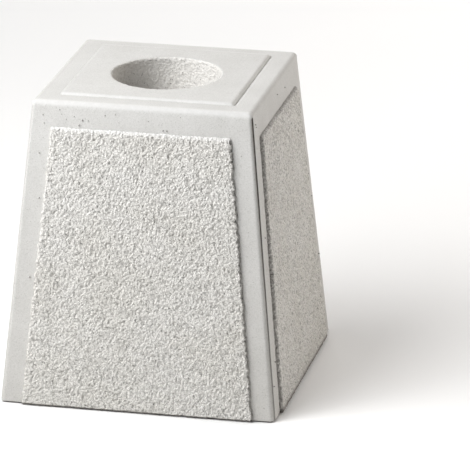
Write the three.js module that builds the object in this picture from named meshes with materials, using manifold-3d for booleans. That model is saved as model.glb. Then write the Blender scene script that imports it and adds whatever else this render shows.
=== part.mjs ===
// Column base block: one block of cast stone, a square pyramid cut off flat at the top.
// Each of its four faces carries a rough raised panel between smooth margins. On the top a low
// smooth seat surrounds a round socket for the column's foot.
// Millimetres, +Z up, front towards -Y, origin on the ground under the middle of the block.

import * as THREE from 'three';
import { mergeVertices } from 'three/addons/utils/BufferGeometryUtils.js';
import Module from 'manifold-3d';

const wasm = await Module();
wasm.setup();

// Block
const topWidth = 220; // across the block at its top margin
const baseWidth = 280; // across the block on the ground
const bodyHeight = 310; // ground to top margin
const topEdgeRadius = 4.5; // rounding between the top margin and each face
const sideFaceOut = 0.8; // how far the side faces stand out past the square

// Upright corners: the front and back faces end in a rounding, and a narrow quirk parts it from
// the side face, which starts a small step further out
const cornerRadiusTop = 3;
const cornerRadiusBase = 4.3;
const quirkStep = 0.8;
const quirkWidth = 1.3;
const quirkDepth = 2.4;
const quirkInTopEdge = 0.3; // share of the quirk's size that is left in the rounded top edge
const quirkRunOut = 4; // height under that edge over which it fades

// Seat on the top
const seatMargin = 21.5; // from the block's top edge to the foot of the seat's wall
const seatRise = 2.2; // seat above the top margin
const seatDraft = 2.4; // how far its wall leans in
const seatCornerRadius = 3;

// Socket in the seat
const socketDiameter = 110;
const socketDepth = 150; // seat to the socket's floor
const socketRimRadius = 2.5;

// Rough panels on the front and back, and on the two sides
const frontPanelSideMargin = 21;
const frontPanelTopMargin = 25.5;
const frontPanelProud = 4.2;
const sidePanelSideMargin = 26;
const sidePanelTopMargin = 29.5;
const sidePanelProud = 3.4;
const panelWallDraft = 2; // how far each panel's walls lean in

// How finely the round forms are divided, and how far joined and cut solids reach past a surface
const socketSides = 64;
const roundingSteps = 5;
const jointDepth = 3;
const mergeTolerance = 1e-4;

const stoneColour = 0xdcdbd7;
const stoneRoughness = 0.9;

const quarterTurn = Math.PI / 2;

/** Half the block's width at a height, without its corner and edge roundings. */
function halfWidthAt(z) {
  return THREE.MathUtils.mapLinear(z, 0, bodyHeight, baseWidth, topWidth) / 2;
}

/** A closed body from stacked outlines with equal numbers of points, each {z, points}. */
function stackedBody(sections) {
  const count = sections[0].points.length;
  const positions = [];
  for (const section of sections) {
    for (const point of section.points) positions.push(point.x, point.y, section.z);
  }
  const triangles = [];
  for (let level = 0; level + 1 < sections.length; level++) {
    for (let i = 0; i < count; i++) {
      const next = (i + 1) % count;
      const low = level * count;
      const high = low + count;
      triangles.push(low + i, low + next, high + next, low + i, high + next, high + i);
    }
  }
  const topStart = (sections.length - 1) * count;
  for (const [a, b, c] of THREE.ShapeUtils.triangulateShape(sections[0].points, [])) {
    triangles.push(c, b, a);
  }
  for (const [a, b, c] of THREE.ShapeUtils.triangulateShape(sections[sections.length - 1].points, [])) {
    triangles.push(topStart + a, topStart + b, topStart + c);
  }
  const geometry = new THREE.BufferGeometry();
  geometry.setAttribute('position', new THREE.Float32BufferAttribute(positions, 3));
  geometry.setIndex(triangles);
  return geometry;
}

/** Makes a solid, ready for joining and cutting, from a closed three.js geometry. */
function toSolid(geometry) {
  const bare = geometry.clone();
  bare.deleteAttribute('normal');
  bare.deleteAttribute('uv');
  const merged = mergeVertices(bare, mergeTolerance);
  return new wasm.Manifold(new wasm.Mesh({
    numProp: 3,
    vertProperties: new Float32Array(merged.attributes.position.array),
    triVerts: new Uint32Array(merged.index.array),
  }));
}

/** Turns a solid back into a three.js geometry. */
function toGeometry(solid) {
  const mesh = solid.getMesh();
  const geometry = new THREE.BufferGeometry();
  geometry.setAttribute('position', new THREE.Float32BufferAttribute(mesh.vertProperties, 3));
  geometry.setIndex(Array.from(mesh.triVerts));
  geometry.computeVertexNormals();
  return geometry;
}

/** One corner of the block's outline, front right, from the front face round to the side face. */
function cornerPoints(half, radius, quirk) {
  const side = half + sideFaceOut;
  const centreX = side - quirkStep * quirk - radius;
  const centreY = -half + radius;
  const points = [];
  for (let i = 0; i <= roundingSteps; i++) {
    const angle = -quarterTurn + quarterTurn * i / roundingSteps;
    points.push(new THREE.Vector2(centreX + radius * Math.cos(angle), centreY + radius * Math.sin(angle)));
  }
  const width = quirkWidth * quirk;
  points.push(new THREE.Vector2(centreX + radius - quirkDepth * quirk, centreY + width / 2));
  points.push(new THREE.Vector2(side, centreY + width));
  return points;
}

/** The block's whole outline: the front right corner mirrored to the other three. */
function blockOutline(half, radius, quirk) {
  const frontRight = cornerPoints(half, radius, quirk);
  const mirror = (points, sx, sy) => points.map((p) => new THREE.Vector2(sx * p.x, sy * p.y));
  return [
    ...frontRight,
    ...mirror(frontRight, 1, -1).reverse(),
    ...mirror(frontRight, -1, -1),
    ...mirror(frontRight, -1, 1).reverse(),
  ];
}

/** The block itself, with its sloping faces, quirked corners and rounded top edge. */
function blockSolid() {
  const sectionAt = (z, inset, quirk) => {
    const radius = THREE.MathUtils.lerp(cornerRadiusBase, cornerRadiusTop, z / bodyHeight);
    return { z, points: blockOutline(halfWidthAt(z) - inset, radius, quirk) };
  };
  const edgeStart = bodyHeight - topEdgeRadius;
  const sections = [sectionAt(0, 0, 1), sectionAt(edgeStart - quirkRunOut, 0, 1)];
  for (let i = 0; i <= roundingSteps; i++) {
    const angle = quarterTurn * i / roundingSteps;
    const z = edgeStart + topEdgeRadius * Math.sin(angle);
    sections.push(sectionAt(z, topEdgeRadius * (1 - Math.cos(angle)), quirkInTopEdge));
  }
  return toSolid(stackedBody(sections));
}

/** A square outline with rounded corners. */
function roundedSquare(half, radius) {
  const points = [];
  for (let corner = 0; corner < 4; corner++) {
    const start = quarterTurn * (corner - 1);
    const centre = new THREE.Vector2(half - radius, half - radius).rotateAround(new THREE.Vector2(), start);
    for (let i = 0; i <= roundingSteps; i++) {
      const angle = start + quarterTurn * i / roundingSteps;
      const offset = new THREE.Vector2(radius, 0).rotateAround(new THREE.Vector2(), angle);
      points.push(centre.clone().add(offset));
    }
  }
  return points;
}

/** The low smooth seat that stands on the top margin. */
function seatSolid() {
  const foot = topWidth / 2 - seatMargin;
  const lean = seatDraft / seatRise;
  const sectionAt = (rise) => ({
    z: bodyHeight + rise,
    points: roundedSquare(foot - lean * rise, seatCornerRadius),
  });
  return toSolid(stackedBody([sectionAt(-jointDepth), sectionAt(seatRise)]));
}

/** The space of the socket, from its floor up past the seat, with a rounded rim. */
function socketSpace() {
  const radius = socketDiameter / 2;
  const seatLevel = bodyHeight + seatRise;
  const profile = [
    new THREE.Vector2(0, seatLevel - socketDepth),
    new THREE.Vector2(radius, seatLevel - socketDepth),
  ];
  for (let i = 0; i <= roundingSteps; i++) {
    const angle = quarterTurn * i / roundingSteps;
    profile.push(new THREE.Vector2(
      radius + socketRimRadius * (1 - Math.cos(angle)),
      seatLevel - socketRimRadius * (1 - Math.sin(angle))));
  }
  profile.push(new THREE.Vector2(radius + socketRimRadius, seatLevel + jointDepth));
  profile.push(new THREE.Vector2(0, seatLevel + jointDepth));
  const space = new THREE.LatheGeometry(profile, socketSides);
  space.rotateX(quarterTurn);
  return toSolid(space);
}

/** A raised panel on a front face that stands out by faceOut, then turned in place. */
function panelSolid(sideMargin, topMargin, proud, faceOut, turn) {
  const lean = panelWallDraft / proud;
  const rim = (out) => {
    const top = bodyHeight - topMargin - lean * out;
    const corner = (z, side) => new THREE.Vector3(
      side * (halfWidthAt(z) - sideMargin - lean * out), -halfWidthAt(z) - faceOut - out, z);
    return [corner(0, -1), corner(0, 1), corner(top, 1), corner(top, -1)];
  };
  const corners = [...rim(-jointDepth), ...rim(proud)];
  const geometry = new THREE.BufferGeometry().setFromPoints(corners);
  geometry.setIndex([
    0, 3, 2, 0, 2, 1,
    4, 5, 6, 4, 6, 7,
    0, 1, 5, 0, 5, 4,
    1, 2, 6, 1, 6, 5,
    2, 3, 7, 2, 7, 6,
    3, 0, 4, 3, 4, 7,
  ]);
  geometry.rotateZ(turn);
  return toSolid(geometry);
}

/** The whole casting: block, seat and four panels in one, with the socket cut out. */
function baseBlockGeometry() {
  let casting = blockSolid().add(seatSolid());
  for (const turn of [0, 2 * quarterTurn]) {
    casting = casting.add(
      panelSolid(frontPanelSideMargin, frontPanelTopMargin, frontPanelProud, 0, turn));
    casting = casting.add(
      panelSolid(sidePanelSideMargin, sidePanelTopMargin, sidePanelProud, sideFaceOut, turn + quarterTurn));
  }
  return toGeometry(casting.subtract(socketSpace()));
}

const stone = new THREE.MeshStandardMaterial({
  color: stoneColour,
  roughness: stoneRoughness,
  metalness: 0,
});

const baseBlock = new THREE.Mesh(baseBlockGeometry(), stone);
baseBlock.name = 'base_block';

const columnBase = new THREE.Group();
columnBase.add(baseBlock);

export default columnBase;
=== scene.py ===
"""Column base block: one casting of pale stone with hammered panels, a seat and a round socket.

Metres, +Z up, front towards -Y. The casting is drawn as a body (margins, seat, socket and
underside) and four rough panels that are bedded in its faces; all five replace the one CAD solid.
"""

import math

import bmesh
import bpy
import numpy as np
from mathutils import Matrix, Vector, noise


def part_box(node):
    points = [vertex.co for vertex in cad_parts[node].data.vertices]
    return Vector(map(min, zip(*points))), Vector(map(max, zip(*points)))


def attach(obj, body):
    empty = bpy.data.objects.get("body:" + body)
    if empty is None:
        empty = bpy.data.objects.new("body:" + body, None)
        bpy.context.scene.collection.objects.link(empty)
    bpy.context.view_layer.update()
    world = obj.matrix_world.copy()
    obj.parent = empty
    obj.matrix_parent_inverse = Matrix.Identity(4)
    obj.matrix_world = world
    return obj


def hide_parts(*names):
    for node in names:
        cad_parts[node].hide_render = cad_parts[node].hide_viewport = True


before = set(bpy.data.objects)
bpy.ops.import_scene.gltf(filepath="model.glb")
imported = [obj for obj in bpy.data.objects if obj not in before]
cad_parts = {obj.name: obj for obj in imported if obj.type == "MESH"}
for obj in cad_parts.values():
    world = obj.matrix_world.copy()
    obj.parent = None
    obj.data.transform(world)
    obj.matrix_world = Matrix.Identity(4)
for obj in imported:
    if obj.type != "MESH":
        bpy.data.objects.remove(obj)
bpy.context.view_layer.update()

NODE = "base_block"
MM = 0.001
QUARTER = math.pi / 2
RANDOM_SEED = 27

# Block, from the frame and the sizes of the CAD model
BLOCK_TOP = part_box(NODE)[1][2]
SEAT_RISE = 2.2 * MM
BODY_HEIGHT = BLOCK_TOP - SEAT_RISE
TOP_HALF = 110 * MM
BASE_HALF = 140 * MM
TOP_EDGE_RADIUS = 4.5 * MM
SIDE_OUT = 0.8 * MM  # how far the side faces stand out past the square

# Underside: worn lips that leave a dark gap on the floor, and the foot behind them
LIP_RADIUS = 1.0 * MM
BODY_GAP = 1.1 * MM
PANEL_GAP = 1.5 * MM
FOOT_INSET = 9 * MM

# Upright corners: rounding of the front and back faces, and the quirk beside it
CORNER_RADIUS_TOP = 3.0 * MM
CORNER_RADIUS_BASE = 4.3 * MM
QUIRK_STEP = 0.8 * MM
QUIRK_WIDTH = 1.3 * MM
QUIRK_DEPTH = 2.4 * MM
QUIRK_PROFILE = ((0.6, 0.2), (1.0, 0.5), (0.6, 0.8))  # shares of its depth and its width
QUIRK_RUN_OUT = 3.0 * MM
QUIRK_LEFT_OVER = 0.1  # share of it that is left round the top edge
CREST_SOFTNESS = 0.35 * MM

# Seat and socket
SEAT_MARGIN = 21.5 * MM
SEAT_EDGE_RUN = 2.4 * MM
SEAT_FOOT = TOP_HALF - SEAT_MARGIN  # from the middle to the foot of the seat's wall
SEAT_CREST = SEAT_FOOT - SEAT_EDGE_RUN
SEAT_CORNER_RADIUS = 3.0 * MM
SEAT_GROOVE_WIDTH = 1.5 * MM  # along the foot of its right wall
SEAT_GROOVE_DEPTH = 1.0 * MM
SOCKET_RADIUS = 55 * MM
SOCKET_FLOOR = BLOCK_TOP - 150 * MM
RIM_RADIUS = 2.5 * MM

# Body mesh: columns on each face and corner, and rings in each part
FACE_COLUMNS = 78
ARC_STEPS = 8
CORNER_COLUMNS = ARC_STEPS + 6
SOCKET_FLOOR_STEPS = 16
SOCKET_WALL_STEPS = 108
SOCKET_WALL_CROWDING = 1.25  # how much closer its rings get towards the top
RIM_STEPS = 6
SEAT_STEPS = 13
EDGE_STEPS = 7
MARGIN_STEPS = 8
FACE_STEPS = 58
FINE_FACE_STEPS = 7  # closer steps just under the top edge
FINE_FACE_STEP = 1.5 * MM
LIP_STEPS = 3

# Panels: margins, how far they stand proud, how far their face stands out past the square, how
# rough they are, how much painted shade their left, right and top edges get, the height of the
# painted contact shadow by the ground, and the bug holes per square metre above them
FRONT_PANEL = {"side_margin": 21 * MM, "top_margin": 25.5 * MM, "proud": 4.2 * MM,
               "face_out": 0.0, "relief": 1.0, "edge_shade": (0.0, 0.45, 0.0),
               "foot_shade": 2.0 * MM, "holes_above": 4200}
SIDE_PANEL = {"side_margin": 26 * MM, "top_margin": 29.5 * MM, "proud": 3.4 * MM,
              "face_out": SIDE_OUT, "relief": 0.75, "edge_shade": (0.55, 0.5, 0.6),
              "foot_shade": 8.0 * MM, "holes_above": 700}
FRONT_CUT_CORNER = 2.0 * MM  # broken off the front panel's upper right corner
PANEL_BED_DEPTH = 1.5 * MM
PANEL_COLUMNS = 262
PANEL_ROWS = 326
EDGE_PLACES = [share * MM for share in (0.0, 0.35, 0.7, 1.05, 1.45, 1.9, 2.4)]
TOP_ROWS = [share * MM for share in (0.55, 0.35, 0.15, 0.0)]

# Worn panel edges on the left, right and top: how far in they run, and how they wander from their
# line, as the spacing, the size and the row of noise of each layer
PANEL_EDGE_RUNS = (3.4 * MM, 1.6 * MM, 2.6 * MM)
# reach of the painted highlight along the panels' top edges
TOP_EDGE_HIGHLIGHT = 1.6 * PANEL_EDGE_RUNS[2]
WANDER_SLOW = (11 * MM, 0.6 * MM, 0.3)
WANDER_QUICK = (3 * MM, 1.5 * MM, 7.7)
WANDER_CHIPS = (5 * MM, 3.0 * MM, 3.1)
CHIPPED_FROM = 0.22  # noise above which an edge is chipped
TOP_WANDER = 0.4  # share of this wander that the top edges have

# Hammered grain: spacing and height of each layer of lumps, and the slant of the tool's strokes
GRAIN_LAYERS = [(5.5 * MM, 0.7 * MM), (2.4 * MM, 1.3 * MM), (1.45 * MM, 1.1 * MM)]
WORN_HEIGHT = 0.15 * MM  # the lumps are worn flatter above this
WORN_SHARE = 0.38
STROKE_SLANT = math.radians(62)
STROKE_STRETCH = 1.25
OBLIQUE_CUT = (0.55, -0.4)  # the noise is cut at a slant, so that its lattice doesn't show
CRUMBS_PER_METRE = 430  # of stone, in the bump

# Slow waviness of the faces: spacing and share of each layer, and its height
WAVES = [(45 * MM, 1.0), (16 * MM, 0.5)]
BODY_WAVE = 0.12 * MM
PANEL_WAVE = 0.45 * MM

# Painted shade, as a share of full painted shade
CREVICE_SHADE = 0.17
CREVICE_DEPTH = 1.0 * MM
EDGE_SHADE_REACH = (5.5 * MM, 2.6 * MM, 3 * MM)
PATCH_SIZE = 2.5 * MM
PIT_SHADE = 0.5
SOCKET_SHADE = 0.34  # on its left wall
QUIRK_SHADE_CORE = 0.5 * MM  # full this near the quirk's middle, and then it thins out
QUIRK_SHADE_FRONT = 2.8 * MM
QUIRK_SHADE_SIDE = 0.8 * MM
QUIRK_SHADE_ON_GROUND = 0.45  # share of it at the bottom of the block
LEFT_QUIRK_SHADE = 0.3

# Painted highlight that leaves the body's edges pale, as a share of the full highlight
SEAT_HIGHLIGHT = 0.8
EDGE_HIGHLIGHT = 0.7

# Bug holes: how many per square metre, where there are none, and their size
HOLES_ON_TOP = 700
HOLES_BESIDE_PANELS = 900
HOLES_FROM_SOCKET = 8 * MM
HOLES_FROM_EDGES = 7 * MM
HOLES_FROM_PANELS = 2 * MM
HOLES_FROM_GROUND = 8 * MM
HOLE_ROOM = 1.3 * MM  # shortest side of a mesh face that takes one
HOLE_RADII = (0.5 * MM, 1.2 * MM)
HOLE_DEPTHS = (1.2, 2.0)  # in radii
PIT_SIDES = 8
PIT_PROFILE = ((1.0, 0.0), (0.8, 0.55), (0.4, 1.0))  # shares of its radius and its depth

# Lamps: name, direction that it shines from, distance, diameter, watts and colour
NEUTRAL = (1.0, 1.0, 1.0)
WARM = (1.0, 0.95, 0.90)
LAMPS = [
    ("key_near", (-0.555, -0.400, 0.730), 1.4, 0.6, 8.4, NEUTRAL),
    ("key_far", (-0.535, -0.385, 0.752), 3.0, 4.0, 30.5, NEUTRAL),
    ("high", (-0.350, -0.220, 0.910), 2.5, 0.8, 9.4, NEUTRAL),
    ("front", (-0.380, -0.735, 0.560), 1.6, 0.9, 11.1, NEUTRAL),
    ("back_right", (0.735, 0.515, 0.441), 2.5, 2.0, 35.5, WARM),
    ("back", (0.0, 0.94, 0.342), 3.0, 3.0, 42.0, NEUTRAL),
    ("left_back", (-0.612, 0.354, 0.707), 2.0, 1.2, 2.0, NEUTRAL),
]
LAMP_AIM = Vector((0, 0, 0.15))
WORLD_STRENGTH = 0.02
FLOOR_HALF = 14.0


def half_width(z):
    """Half the block's width at a height."""
    return BASE_HALF + (TOP_HALF - BASE_HALF) * z / BODY_HEIGHT


def corner_radius(z):
    """Radius of the upright corners at a height."""
    return mix(CORNER_RADIUS_BASE, CORNER_RADIUS_TOP, z / BODY_HEIGHT)


def mix(a, b, share):
    """The value at a share of the way from a to b."""
    return a + (b - a) * share


def smooth(share):
    """Smooth step of a share that is cut to 0..1."""
    share = min(max(share, 0.0), 1.0)
    return share * share * (3 - 2 * share)


# Relief

def grain(point):
    """Height of the hammered surface at a point: layered lumps whose tops are flattened."""
    height = sum(high * noise.noise(point / size) for size, high in GRAIN_LAYERS)
    if height > WORN_HEIGHT:
        height = WORN_HEIGHT + WORN_SHARE * (height - WORN_HEIGHT)
    return height


def along_strokes(u, v, depth):
    """A place on a panel in the slanted pattern of the tool's strokes, oblique to the noise."""
    cos, sin = math.cos(STROKE_SLANT), math.sin(STROKE_SLANT)
    along = (u * cos + v * sin) / STROKE_STRETCH
    across = v * cos - u * sin
    return Vector((along, across, depth + OBLIQUE_CUT[0] * along + OBLIQUE_CUT[1] * across))


def undulation(point, amplitude):
    """The slow waviness of a face."""
    return amplitude * sum(share * noise.noise(point / size) for size, share in WAVES)


# Body rings

def mirrored(points, sx, sy):
    """Points of an outline mirrored by signs."""
    return [(sx * x, sy * y) for x, y in points]


def between(first, second, share):
    """The outline at a share of the way from one outline to another."""
    return [(mix(a[0], b[0], share), mix(a[1], b[1], share)) for a, b in zip(first, second)]


def graded(low, high, count):
    """Places between two ends, closer together near the ends."""
    places = []
    for i in range(count):
        share = 2 * (i + 0.5) / count - 1
        share = share + 0.35 / math.pi * math.sin(math.pi * share)
        places.append(mix(low, high, (share + 1) / 2))
    return places


def closed_outline(corner, front_end, side_end, half_x, half_y):
    """Joins four mirrored corners and four faces into one outline, counted from the front face."""
    front = [(x, -half_y) for x in graded(-front_end, front_end, FACE_COLUMNS)]
    right = [(half_x, y) for y in graded(-side_end, side_end, FACE_COLUMNS)]
    back = [(-x, half_y) for x, _ in front]
    left = [(-half_x, -y) for _, y in right]
    return (front + corner + right + mirrored(corner, 1, -1)[::-1]
            + back + mirrored(corner, -1, -1) + left + mirrored(corner, -1, 1)[::-1])


def corner_arc(cx, cy, radius, steps):
    """A quarter circle round a corner's centre, from the front face to the right one."""
    angles = [-QUARTER + QUARTER * i / steps for i in range(steps + 1)]
    return [(cx + radius * math.cos(angle), cy + radius * math.sin(angle)) for angle in angles]


def block_outline(half, radius, quirk):
    """The block's outline, with the rounding and the quirk at each corner; quirk is its share."""
    side = half + SIDE_OUT
    step = QUIRK_STEP * quirk
    width = QUIRK_WIDTH * quirk
    depth = QUIRK_DEPTH * quirk
    cx = side - step - radius
    cy = -half + radius
    corner = corner_arc(cx, cy, radius, ARC_STEPS)
    for sunk, share in QUIRK_PROFILE:
        corner.append((cx + radius - sunk * depth, cy + share * width))
    soft = min(CREST_SOFTNESS, 0.4 * step)
    corner.append((side - soft, cy + width))
    corner.append((side, cy + width + soft))
    return closed_outline(corner, cx, -(cy + width + soft), side, half)


def rounded_square(half, radius):
    """A square outline with rounded corners, in step with the block's outline."""
    straight = half - radius
    corner = corner_arc(straight, -straight, radius, CORNER_COLUMNS - 1)
    return closed_outline(corner, straight, straight, half, half)


def circle(radius):
    """A circle with as many points as the outlines, in step with their corners."""
    count = 4 * (FACE_COLUMNS + CORNER_COLUMNS)
    start = -0.75 * math.pi + (0.5 * CORNER_COLUMNS + 0.5) * 2 * math.pi / count
    angles = [start + 2 * math.pi * i / count for i in range(count)]
    return [(radius * math.cos(angle), radius * math.sin(angle)) for angle in angles]


class Rings:
    """Collects the body's rings, each with how rough and how wavy it is."""

    def __init__(self):
        self.points = []
        self.rough = []
        self.wave = []
        self.size = 0

    def add(self, outline, z, rough=0.0, wave=0.0):
        self.size = len(outline)
        self.points.extend((x, y, z) for x, y in outline)
        self.rough.extend([rough] * len(outline))
        self.wave.extend([wave] * len(outline))

    def faces(self):
        """Quads between neighbouring rings, and a fan on the first and the last."""
        count = len(self.points) // self.size
        quads = []
        for ring in range(count - 1):
            a = ring * self.size
            b = a + self.size
            for i in range(self.size):
                j = (i + 1) % self.size
                quads.append((a + i, a + j, b + j, b + i))
        first_centre = len(self.points)
        last_centre = first_centre + 1
        last = (count - 1) * self.size
        for i in range(self.size):
            j = (i + 1) % self.size
            quads.append((first_centre, j, i))
            quads.append((last_centre, last + i, last + j))
        return quads


def quirk_share(z):
    """How much of the quirk there is at a height: it runs out just under the rounded top edge."""
    below = BODY_HEIGHT - TOP_EDGE_RADIUS - z
    return max(QUIRK_LEFT_OVER, smooth(below / QUIRK_RUN_OUT + 0.3))


def socket_rings(rings):
    """The socket's rough floor and wall, closer together near the top, and its broken rim."""
    for i in range(1, SOCKET_FLOOR_STEPS):
        rings.add(circle(SOCKET_RADIUS * i / SOCKET_FLOOR_STEPS), SOCKET_FLOOR, rough=0.5)
    rim_start = BLOCK_TOP - RIM_RADIUS
    for i in range(SOCKET_WALL_STEPS):
        z = mix(SOCKET_FLOOR, rim_start, 1 - (1 - i / SOCKET_WALL_STEPS) ** SOCKET_WALL_CROWDING)
        rings.add(circle(SOCKET_RADIUS), z, rough=0.4 if i else 0.3, wave=0.5)
    for i in range(RIM_STEPS):
        angle = QUARTER * i / RIM_STEPS
        radius = SOCKET_RADIUS + RIM_RADIUS * (1 - math.cos(angle))
        z = rim_start + RIM_RADIUS * math.sin(angle)
        rings.add(circle(radius), z, rough=mix(0.9, 0.2, i / RIM_STEPS), wave=0.4)


def sink_groove(rings, reach):
    """Lowers the last two rings beside the seat's right wall, which leaves a narrow groove."""
    for i in range(len(rings.points) - 2 * rings.size, len(rings.points)):
        x, y, z = rings.points[i]
        beside = smooth((x - 0.93 * reach) / (0.07 * reach)) * smooth((reach - abs(y)) / (4 * MM))
        rings.points[i] = (x, y, z - SEAT_GROOVE_DEPTH * beside)


def top_rings(rings):
    """The seat, its leaning wall, the groove at its foot and the margin round it."""
    rim = circle(SOCKET_RADIUS + RIM_RADIUS)
    crest = rounded_square(SEAT_CREST, SEAT_CORNER_RADIUS)
    for i in range(SEAT_STEPS):
        rings.add(between(rim, crest, i / SEAT_STEPS), BLOCK_TOP, wave=1.0)
    for i in range(EDGE_STEPS):
        share = i / EDGE_STEPS
        outline = rounded_square(SEAT_CREST + SEAT_EDGE_RUN * share, SEAT_CORNER_RADIUS)
        rings.add(outline, BODY_HEIGHT + SEAT_RISE * (1 - share), wave=1.0)
    groove_floor = rounded_square(SEAT_FOOT + 0.4 * SEAT_GROOVE_WIDTH, SEAT_CORNER_RADIUS)
    groove_edge = rounded_square(SEAT_FOOT + SEAT_GROOVE_WIDTH, SEAT_CORNER_RADIUS)
    rings.add(rounded_square(SEAT_FOOT, SEAT_CORNER_RADIUS), BODY_HEIGHT, wave=1.0)
    rings.add(groove_floor, BODY_HEIGHT, wave=1.0)
    sink_groove(rings, SEAT_FOOT)
    rings.add(groove_edge, BODY_HEIGHT, wave=1.0)
    edge_half = half_width(BODY_HEIGHT) - TOP_EDGE_RADIUS
    edge = block_outline(edge_half, CORNER_RADIUS_TOP, quirk_share(BODY_HEIGHT))
    for i in range(1, MARGIN_STEPS):
        rings.add(between(groove_edge, edge, i / MARGIN_STEPS), BODY_HEIGHT, wave=1.0)


def face_rings(rings):
    """The rounded top edge and the sloping faces, down to the lip."""
    for i in range(EDGE_STEPS + 1):
        angle = QUARTER * i / EDGE_STEPS
        z = BODY_HEIGHT - TOP_EDGE_RADIUS * (1 - math.cos(angle))
        half = half_width(z) - TOP_EDGE_RADIUS * (1 - math.sin(angle))
        rings.add(block_outline(half, corner_radius(z), quirk_share(z)), z, wave=1.0)
    top = BODY_HEIGHT - TOP_EDGE_RADIUS
    low = BODY_GAP + LIP_RADIUS
    levels = [top - FINE_FACE_STEP * i for i in range(1, FINE_FACE_STEPS + 1)]
    levels += [mix(levels[-1], low, i / FACE_STEPS) for i in range(1, FACE_STEPS + 1)]
    for z in levels:
        rings.add(block_outline(half_width(z), corner_radius(z), quirk_share(z)), z, wave=1.0)


def underside_rings(rings):
    """The lip, the shallow gap under it and the foot that stands on the floor."""
    for i in range(1, LIP_STEPS + 1):
        angle = QUARTER * i / LIP_STEPS
        z = BODY_GAP + LIP_RADIUS * (1 - math.sin(angle))
        half = half_width(z) - LIP_RADIUS * (1 - math.cos(angle))
        rings.add(block_outline(half, corner_radius(z), 1.0), z)
    foot = BASE_HALF - FOOT_INSET
    rings.add(rounded_square(foot, CORNER_RADIUS_BASE), BODY_GAP)
    for share in (1.0, 0.7, 0.35):
        rings.add(rounded_square(foot * share, CORNER_RADIUS_BASE), 0.0)


def new_object(name, points, faces):
    """A mesh object in the scene."""
    mesh = bpy.data.meshes.new(name)
    mesh.from_pydata(points, [], faces)
    mesh.validate()
    mesh.update()
    obj = bpy.data.objects.new(name, mesh)
    bpy.context.collection.objects.link(obj)
    return obj


def mark(obj, name, values):
    """Stores a value for each point, such as how much painted shade or painted highlight it gets, for the
    materials.
    """
    layer = obj.data.attributes.new(name, "FLOAT", "POINT")
    layer.data.foreach_set("value", values)


def relieve(obj, rough, wave):
    """Moves each point along its normal by the grain and the waviness it has been given."""
    mesh = obj.data
    normals = [v.normal.copy() for v in mesh.vertices]
    for vertex, normal, how_rough, how_wavy in zip(mesh.vertices, normals, rough, wave):
        height = 0.0
        if how_rough:
            height += how_rough * grain(vertex.co)
        if how_wavy:
            height += undulation(vertex.co, BODY_WAVE * how_wavy)
        vertex.co += normal * height
    mesh.update()


def make_body():
    """The block without its panels, as one closed mesh from the socket's floor to the underside."""
    rings = Rings()
    socket_rings(rings)
    top_rings(rings)
    face_rings(rings)
    underside_rings(rings)
    points = rings.points + [(0, 0, SOCKET_FLOOR), (0, 0, 0)]
    body = new_object("block_body", points, rings.faces())
    relieve(body, rings.rough + [0, 0], rings.wave + [0, 0])
    return body


# Bug holes

def pit_rings(bm, face, centre, radius, depth, pit_marks):
    """The rings of points of a pit, from its edge down to its bottom, with their painted shade."""
    normal = face.normal.copy()
    along = (face.verts[1].co - face.verts[0].co).normalized()
    across = normal.cross(along)
    rings = []
    for share, sunk in PIT_PROFILE:
        ring = []
        for i in range(PIT_SIDES):
            angle = 2 * math.pi * i / PIT_SIDES
            offset = along * math.cos(angle) + across * math.sin(angle)
            vertex = bm.verts.new(centre + offset * radius * share - normal * depth * sunk)
            # painted shade that deepens towards the pit's bottom
            vertex[pit_marks] = PIT_SHADE * sunk
            ring.append(vertex)
        rings.append(ring)
    return rings


def sink_pit(bm, face, centre, radius, depth, pit_marks):
    """Cuts a small round pit into one four-sided face of the mesh."""
    corners = list(face.verts)
    rings = pit_rings(bm, face, centre, radius, depth, pit_marks)
    edge = rings[0]
    bm.faces.remove(face)
    start = min(range(PIT_SIDES), key=lambda i: (edge[i].co - corners[0].co).length)
    step = PIT_SIDES // 4
    for c in range(4):
        here = (start + c * step) % PIT_SIDES
        middle = (here + 1) % PIT_SIDES
        there = (here + step) % PIT_SIDES
        corner, next_corner = corners[c], corners[(c + 1) % 4]
        bm.faces.new((corner, edge[middle], edge[here]))
        bm.faces.new((corner, next_corner, edge[middle]))
        bm.faces.new((next_corner, edge[there], edge[middle]))
    for outer, inner in zip(rings, rings[1:]):
        for i in range(PIT_SIDES):
            j = (i + 1) % PIT_SIDES
            bm.faces.new((outer[i], outer[j], inner[j], inner[i]))
    bm.faces.new(rings[-1])


def holes_expected(centre, normal):
    """Bug holes per square metre: none on the rough faces, most above the front and back panels."""
    x, y, z = centre
    if normal.z > 0.99 and z > BODY_HEIGHT - 1 * MM:
        return HOLES_ON_TOP if math.hypot(x, y) > SOCKET_RADIUS + HOLES_FROM_SOCKET else 0
    for across, out, sizes in ((abs(x), abs(y), FRONT_PANEL), (abs(y), abs(x), SIDE_PANEL)):
        off_face = abs(out - half_width(z) - sizes["face_out"])
        if off_face > 0.6 * MM or z < HOLES_FROM_GROUND or across > half_width(z) - HOLES_FROM_EDGES:
            continue
        if across > half_width(z) - sizes["side_margin"] + HOLES_FROM_PANELS:
            return HOLES_BESIDE_PANELS
        panel_top = BODY_HEIGHT - sizes["top_margin"]
        if panel_top + HOLES_FROM_PANELS < z < BODY_HEIGHT - HOLES_FROM_EDGES:
            return sizes["holes_above"]
    return 0


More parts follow.
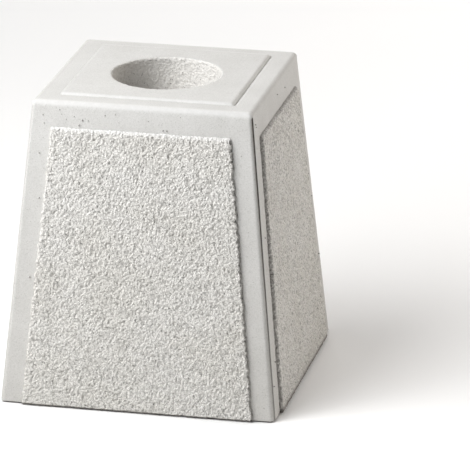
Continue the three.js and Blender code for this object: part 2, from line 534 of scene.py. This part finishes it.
def pierce_bug_holes(body, rng):
    """Scatters bug holes over the body's moulded faces."""
    bm = bmesh.new()
    bm.from_mesh(body.data)
    pit_marks = bm.verts.layers.float.new("pit")
    chosen = []
    for face in bm.faces:
        if len(face.verts) != 4:
            continue
        shortest = min(edge.calc_length() for edge in face.edges)
        if shortest < HOLE_ROOM:
            continue
        if rng.random() < holes_expected(face.calc_center_median(), face.normal) * face.calc_area():
            chosen.append((face, shortest))
    for face, shortest in chosen:
        radius = min(shortest * 0.47, mix(*HOLE_RADII, rng.random()))
        depth = radius * mix(*HOLE_DEPTHS, rng.random())
        sink_pit(bm, face, face.calc_center_median(), radius, depth, pit_marks)
    bm.normal_update()
    bm.to_mesh(body.data)
    bm.free()


# Panels

def edge_wander(place, seed):
    """How far a worn panel edge wanders from its line."""
    def wander(layer, above=None):
        spacing, size, row = layer
        level = noise.noise(Vector((place / spacing, seed, row)))
        return size * (level if above is None else max(0.0, level - above))
    return wander(WANDER_SLOW) + wander(WANDER_QUICK) + wander(WANDER_CHIPS, CHIPPED_FROM)


def edge_profile(inward, run):
    """Share of a panel's height at a distance in from its foot."""
    share = min(max(inward / run, 0.0), 1.0)
    return math.sin(share * QUARTER) ** 0.85


def panel_columns(width):
    """Places across a panel from 0 to its width, with closer steps along both edges."""
    inner_count = PANEL_COLUMNS - 2 * len(EDGE_PLACES)
    start = EDGE_PLACES[-1]
    inner = [mix(start, width - start, (i + 1) / (inner_count + 1)) for i in range(inner_count)]
    return EDGE_PLACES + inner + [width - place for place in reversed(EDGE_PLACES)]


def panel_rows(top):
    """Heights of a panel's rows of points, with closer steps along its top and on its lip."""
    rows = [mix(PANEL_GAP, top, i / PANEL_ROWS) for i in range(PANEL_ROWS)]
    rows += [top - below for below in TOP_ROWS]
    return sorted(rows + [PANEL_GAP + 0.5 * LIP_RADIUS])


def panel_out(x, z, share, relief, sizes, seed):
    """How far a point of a panel stands out from the block's face; share is its edge's profile."""
    out = (PANEL_BED_DEPTH + sizes["proud"]) * share - PANEL_BED_DEPTH
    if relief < 0:
        out += relief * mix(0.4, 1.0, smooth(1.3 * share))
    else:
        out += relief * smooth(share) ** 2
    out += undulation(Vector((x, 3 + seed, z)), PANEL_WAVE)
    on_lip = 1 - smooth((z - PANEL_GAP) / (2 * LIP_RADIUS))
    return out - LIP_RADIUS * on_lip


def panel_painted_shade(x, z, inward, relief, sizes, seed):
    """How much painted shade a point of a panel gets: along its edges, near the ground and in its
    crevices.
    """
    patchy = 1 + noise.noise(Vector((x, seed, z)) / PATCH_SIZE)
    # painted shade along the panel's shaded edges, in patches
    on_edge = max(most * (1 - smooth(distance / (reach * patchy + 0.1 * MM)))
                  for most, distance, reach in zip(sizes["edge_shade"], inward, EDGE_SHADE_REACH))
    # painted contact shadow on the panel's foot near the ground
    on_foot = (1 - smooth((z - PANEL_GAP) / sizes["foot_shade"])) ** 1.5
    # painted shade in the crevices of the grain
    return max(on_foot, on_edge, CREVICE_SHADE * smooth(-relief / CREVICE_DEPTH))


def panel_surface(sizes, seed, cut_corner):
    """The points of a rough panel on the front face, row by row, with their painted shade and painted
    highlight.
    """
    top = BODY_HEIGHT - sizes["top_margin"]
    points = []
    painted_shade = []
    painted_highlight = []
    for z in panel_rows(top):
        half = half_width(z) - sizes["side_margin"]
        left = -half + edge_wander(z, seed)
        right = half - edge_wander(z, seed + 20.5)
        for along in panel_columns(right - left):
            x = left + along
            fall = top - TOP_WANDER * edge_wander(x, seed + 40.5) - z
            fall -= max(0.0, cut_corner - (right - x))
            inward = (along, right - x, fall)
            share = min(edge_profile(distance, run) for distance, run in zip(inward, PANEL_EDGE_RUNS))
            relief = sizes["relief"] * grain(along_strokes(x, z, 0.5 * seed))
            out = sizes["face_out"] + panel_out(x, z, share, relief, sizes, seed)
            points.append((x, -half_width(z) - out, z))
            painted_shade.append(panel_painted_shade(x, z, inward, relief, sizes, seed))
            # painted highlight along the panel's top edge
            painted_highlight.append(1 - smooth(fall / TOP_EDGE_HIGHLIGHT))
    return points, painted_shade, painted_highlight


def panel_boundary(rows):
    """The points round a panel's surface, by their numbers."""
    last = PANEL_COLUMNS - 1
    top_row = (rows - 1) * PANEL_COLUMNS
    boundary = list(range(PANEL_COLUMNS))
    boundary += [r * PANEL_COLUMNS + last for r in range(1, rows)]
    boundary += [top_row + c for c in range(last - 1, -1, -1)]
    boundary += [r * PANEL_COLUMNS for r in range(rows - 2, 0, -1)]
    return boundary


def bed_panel(points, faces, sizes):
    """Closes a panel behind its surface with walls and a fan, inside the block."""
    boundary = panel_boundary(len(points) // PANEL_COLUMNS)
    bed_start = len(points)
    for index in boundary:
        x, _, z = points[index]
        points.append((x, -half_width(z) + 2 * PANEL_BED_DEPTH, z))
    centre = len(points)
    middle = (BODY_HEIGHT - sizes["top_margin"]) / 2
    points.append((0, -half_width(middle) + 2 * PANEL_BED_DEPTH, middle))
    for i, index in enumerate(boundary):
        j = (i + 1) % len(boundary)
        faces.append((boundary[j], index, bed_start + i, bed_start + j))
        faces.append((centre, bed_start + j, bed_start + i))


def make_panel(name, turn, sizes, seed, cut_corner=0.0):
    """One rough panel, drawn on the front face and then turned about the block's axis."""
    points, painted_shade, painted_highlight = panel_surface(sizes, seed, cut_corner)
    faces = []
    for row_start in range(0, len(points) - PANEL_COLUMNS, PANEL_COLUMNS):
        for a in range(row_start, row_start + PANEL_COLUMNS - 1):
            faces.append((a, a + 1, a + 1 + PANEL_COLUMNS, a + PANEL_COLUMNS))
    bed_panel(points, faces, sizes)
    cos, sin = math.cos(turn), math.sin(turn)
    points = [(cos * x - sin * y, sin * x + cos * y, z) for x, y, z in points]
    unmarked = [0.0] * (len(points) - len(painted_shade))
    panel = new_object(name, points, faces)
    mark(panel, "painted_shade", painted_shade + unmarked)
    mark(panel, "painted_highlight", painted_highlight + unmarked)
    return panel


# Materials

class Nodes:
    """A short way to build a material's node tree."""

    def __init__(self, name, roughness, specular):
        self.material = bpy.data.materials.new(name)
        self.material.use_nodes = True
        self.tree = self.material.node_tree
        self.shader = self.tree.nodes["Principled BSDF"]
        self.shader.inputs["Roughness"].default_value = roughness
        self.shader.inputs["Specular IOR Level"].default_value = specular
        self.place = self.tree.nodes.new("ShaderNodeTexCoord").outputs["Object"]

    def link(self, source, target):
        self.tree.links.new(source, target)

    def noise(self, scale, detail, roughness=0.55):
        node = self.tree.nodes.new("ShaderNodeTexNoise")
        node.inputs["Scale"].default_value = scale
        node.inputs["Detail"].default_value = detail
        node.inputs["Roughness"].default_value = roughness
        self.link(self.place, node.inputs["Vector"])
        return node.outputs["Fac"]

    def gaps(self, scale):
        """How near a place is to the gap between two crumbs: 0 in the middle of a crumb."""
        node = self.tree.nodes.new("ShaderNodeTexVoronoi")
        node.inputs["Scale"].default_value = scale
        self.link(self.place, node.inputs["Vector"])
        return node.outputs["Distance"]

    def ramp(self, factor, stops):
        node = self.tree.nodes.new("ShaderNodeValToRGB")
        elements = node.color_ramp.elements
        for element, (position, colour) in zip(elements, stops):
            element.position = position
            element.color = (*colour, 1)
        self.link(factor, node.inputs["Fac"])
        return node.outputs["Color"]

    def higher(self, stops):
        """A colour that changes with the height above the ground, in metres."""
        parts = self.tree.nodes.new("ShaderNodeSeparateXYZ")
        self.link(self.place, parts.inputs["Vector"])
        return self.ramp(parts.outputs["Z"], stops)

    def blend(self, kind, factor, first, second):
        """Blends two colours; a mix node's colours are its inputs 6 and 7, and its output 2."""
        node = self.tree.nodes.new("ShaderNodeMix")
        node.data_type = "RGBA"
        node.blend_type = kind
        node.inputs["Factor"].default_value = factor
        self.link(first, node.inputs[6])
        self.link(second, node.inputs[7])
        return node.outputs[2]

    def multiply(self, first, *others):
        for other in others:
            first = self.blend("MULTIPLY", 1.0, first, other)
        return first

    def marked(self, name, colour, other):
        """Turns a colour into another as far as the mesh's points are marked."""
        marks = self.tree.nodes.new("ShaderNodeAttribute")
        marks.attribute_name = name
        turned = self.blend("MIX", 0.0, colour, other)
        self.link(marks.outputs["Fac"], turned.node.inputs["Factor"])
        return turned

    def finish(self, colour, highlight, normal):
        """Makes a colour paler where it is marked for painted highlight and darker where it is marked for
        painted shade, and adds the bumps.
        """
        # dark brown colour painted where the points are marked for shade
        painted_shade = self.ramp(self.noise(300, 3), [(0.35, (0.065, 0.056, 0.047)),
                                               (0.7, (0.14, 0.123, 0.105))])
        colour = self.marked("painted_shade", self.marked("painted_highlight", colour, highlight), painted_shade)
        self.link(colour, self.shader.inputs["Base Color"])
        self.link(normal, self.shader.inputs["Normal"])
        return self.material

    def bump(self, height, distance, strength, below=None):
        node = self.tree.nodes.new("ShaderNodeBump")
        node.inputs["Strength"].default_value = strength
        node.inputs["Distance"].default_value = distance
        self.link(height, node.inputs["Height"])
        if below is not None:
            self.link(below, node.inputs["Normal"])
        return node.outputs["Normal"]


def smooth_stone():
    """Moulded face: even pale grey with faint clouds and fine specks, darker towards the ground as
    painted shade, and paler on its edges as a painted highlight.
    """
    nodes = Nodes("cast_stone_smooth", 0.8, 0.15)
    clouds = nodes.ramp(nodes.noise(28, 4), [(0.35, (0.598, 0.593, 0.577)),
                                             (0.68, (0.638, 0.633, 0.619))])
    mottle = nodes.ramp(nodes.noise(700, 2), [(0.3, (0.92, 0.92, 0.915)), (0.7, (1.04, 1.04, 1.04))])
    specks = nodes.ramp(nodes.noise(900, 2, 0.6), [(0.3, (0.78, 0.78, 0.77)), (0.42, (1, 1, 1))])
    # painted shade: the face is darker towards the ground
    low_shade = nodes.higher([(0.0, (0.89, 0.88, 0.865)), (0.27, (1, 1, 1))])
    # pale colour painted on the edges as a highlight
    highlight = nodes.ramp(nodes.noise(200, 2), [(0.3, (0.72, 0.718, 0.708)), (0.7, (0.78, 0.778, 0.77))])
    fine = nodes.bump(nodes.noise(700, 4), 0.15 * MM, 0.6)
    waves = nodes.bump(nodes.noise(90, 3), 0.4 * MM, 0.3, fine)
    return nodes.finish(nodes.multiply(clouds, mottle, specks, low_shade), highlight, waves)


def hammered_stone(name, dark, pale, crumb_height, gap_shade):
    """Broken face: crumbs of stone from dark to pale with shaded gaps, and a few dark specks."""
    nodes = Nodes(name, 0.92, 0.1)
    to_gap = nodes.gaps(CRUMBS_PER_METRE)
    grains = nodes.ramp(nodes.noise(750, 2), [(0.34, dark), (0.66, pale)])
    clouds = nodes.ramp(nodes.noise(18, 3), [(0.35, (0.95, 0.945, 0.93)), (0.65, (1, 1, 1))])
    specks = nodes.ramp(nodes.noise(470, 1, 0.4), [(0.25, (0.45, 0.45, 0.44)), (0.31, (1, 1, 1))])
    # painted shade: the face is darker towards the ground
    low_shade = nodes.higher([(0.0, (0.945, 0.94, 0.93)), (0.25, (1, 1, 1))])
    gaps = nodes.ramp(to_gap, [(0.6, (1, 1, 1)), (0.85, (gap_shade, gap_shade, gap_shade))])
    # pale colour painted on the edges as a highlight
    highlight = nodes.ramp(nodes.noise(500, 2), [(0.3, (0.80, 0.795, 0.78)), (0.7, (0.92, 0.915, 0.90))])
    crumbs = nodes.ramp(to_gap, [(0.1, (1, 1, 1)), (0.85, (0, 0, 0))])
    fine = nodes.bump(nodes.noise(1100, 2), 0.6 * crumb_height, 1.0)
    bumps = nodes.bump(crumbs, crumb_height, 1.0, fine)
    return nodes.finish(nodes.multiply(grains, clouds, specks, low_shade, gaps), highlight, bumps)


def floor_white():
    """The studio's floor: plain matt white."""
    nodes = Nodes("studio_floor", 0.9, 0.1)
    shade = nodes.ramp(nodes.noise(3, 2), [(0.3, (0.97, 0.97, 0.97)), (0.7, (0.98, 0.98, 0.98))])
    nodes.link(shade, nodes.shader.inputs["Base Color"])
    return nodes.material


# Colouring of the body

def body_painted_shade(x, y, z):
    """How much painted shade the body gets at a point: in the socket, in the quirks and on the lip."""
    half = half_width(z)
    if math.hypot(x, y) < SOCKET_RADIUS + 1 * MM:
        # painted shade on the socket's left wall, which faces away from the light
        return SOCKET_SHADE * smooth(0.15 - 0.8 * x / SOCKET_RADIUS)
    # painted contact shadow on the lip just above the ground
    on_rim = max(abs(x), abs(y)) > BASE_HALF - 0.5 * FOOT_INSET
    ground = 1 - smooth((z - BODY_GAP) / LIP_RADIUS) if on_rim else 0.0
    if half + SIDE_OUT - abs(x) > corner_radius(z):
        return ground
    # painted shade in the quirk beside each upright corner, where the groove gets little light; less on
    # the left
    past_middle = half - abs(y) - corner_radius(z) - 0.5 * QUIRK_WIDTH
    reach = QUIRK_SHADE_SIDE if past_middle > 0 else QUIRK_SHADE_FRONT
    past_core = abs(past_middle) - QUIRK_SHADE_CORE
    most = quirk_share(z) * mix(QUIRK_SHADE_ON_GROUND, 1.0, smooth(z / (0.8 * BODY_HEIGHT)))
    if x < 0:
        most *= LEFT_QUIRK_SHADE
    return max(ground, most * (1 - smooth(past_core / reach)))


def body_painted_highlight(x, y, z):
    """How much painted highlight makes the body pale: along the seat's front and back edges, and the top
    edges.
    """
    if z > BODY_HEIGHT + 0.3 * MM:
        from_edge = abs(abs(y) - SEAT_CREST - 0.5 * SEAT_EDGE_RUN)
        highlight = SEAT_HIGHLIGHT * (1 - smooth(from_edge / (1.3 * SEAT_EDGE_RUN)))
        return highlight if abs(x) < SEAT_CREST else 0.0
    from_edge = math.hypot(half_width(z) - abs(y), BODY_HEIGHT - z)
    return EDGE_HIGHLIGHT * (1 - smooth((from_edge - 2 * MM) / (5 * MM)))


def colour_body(body):
    """Gives the socket its own material, and marks the body's painted shade and painted highlight."""
    for face in body.data.polygons:
        x, y, z = face.center
        if math.hypot(x, y) < SOCKET_RADIUS + 1.2 * MM and z > SOCKET_FLOOR - 5 * MM:
            face.material_index = 1
    pits = [point.value for point in body.data.attributes["pit"].data]
    painted_shade = [max(body_painted_shade(*vertex.co), pit) for vertex, pit in zip(body.data.vertices, pits)]
    mark(body, "painted_shade", painted_shade)
    mark(body, "painted_highlight", [body_painted_highlight(*vertex.co) for vertex in body.data.vertices])


# Studio

def add_floor():
    """A wide white floor, which belongs to the studio and not to the part."""
    corners = [(-1, -1), (1, -1), (1, 1), (-1, 1)]
    floor = new_object("floor", [(FLOOR_HALF * x, FLOOR_HALF * y, 0) for x, y in corners], [(0, 1, 2, 3)])
    floor.data.materials.append(floor_white())


def add_light(name, direction, distance, size, power, colour):
    """A round soft light that looks at the block."""
    data = bpy.data.lights.new(name, "AREA")
    data.shape = "DISK"
    data.size = size
    data.energy = power
    data.color = colour
    light = bpy.data.objects.new(name, data)
    away = Vector(direction).normalized()
    light.location = LAMP_AIM + away * distance
    light.rotation_euler = away.to_track_quat("Z", "Y").to_euler()
    bpy.context.collection.objects.link(light)


def add_world(strength):
    """A faint light from all round."""
    world = bpy.data.worlds.new("studio")
    world.use_nodes = True
    background = world.node_tree.nodes["Background"]
    background.inputs["Color"].default_value = (1.0, 0.985, 0.96, 1)
    background.inputs["Strength"].default_value = strength
    bpy.context.scene.world = world


def add_camera():
    """The photograph's view: a long lens, from the front, a little to the right and above."""
    azimuth = math.radians(12.375)
    elevation = math.radians(18.772)
    distance = 4.7906
    aim = Vector((0.0577, 0.0565, 0.1260))
    back = Vector((math.sin(azimuth) * math.cos(elevation), -math.cos(azimuth) * math.cos(elevation),
                   math.sin(elevation)))
    data = bpy.data.cameras.new("camera")
    data.sensor_width = 36
    data.lens = 358.4
    camera = bpy.data.objects.new("camera", data)
    camera.location = aim + back * distance
    camera.rotation_euler = back.to_track_quat("Z", "Y").to_euler()
    bpy.context.collection.objects.link(camera)
    bpy.context.scene.camera = camera


def dress(piece, materials):
    """Shades a piece and lets it stand for the CAD solid in the frame."""
    for material in materials:
        piece.data.materials.append(material)
    piece.data.shade_smooth()
    piece.data.set_sharp_from_angle(angle=math.radians(50))
    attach(piece, "root")
    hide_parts(NODE)


def main():
    rng = np.random.default_rng(RANDOM_SEED)
    add_camera()
    smooth_face = smooth_stone()
    hammered_face = hammered_stone("cast_stone_hammered", dark=(0.65, 0.638, 0.612),
                                   pale=(0.885, 0.873, 0.848), crumb_height=1.0 * MM, gap_shade=0.7)
    socket_face = hammered_stone("cast_stone_socket", dark=(0.75, 0.736, 0.711),
                                 pale=(0.85, 0.84, 0.821), crumb_height=0.35 * MM, gap_shade=0.9)
    body = make_body()
    pierce_bug_holes(body, rng)
    dress(body, [smooth_face, socket_face])
    colour_body(body)
    panels = [
        make_panel("panel_front", 0, FRONT_PANEL, 1.3, FRONT_CUT_CORNER),
        make_panel("panel_right", QUARTER, SIDE_PANEL, 2.3),
        make_panel("panel_back", 2 * QUARTER, FRONT_PANEL, 3.3),
        make_panel("panel_left", 3 * QUARTER, SIDE_PANEL, 4.3),
    ]
    for panel in panels:
        dress(panel, [hammered_face])
    add_floor()
    for lamp in LAMPS:
        add_light(*lamp)
    add_world(WORLD_STRENGTH)
    bpy.context.scene.view_settings.view_transform = "Standard"


main()
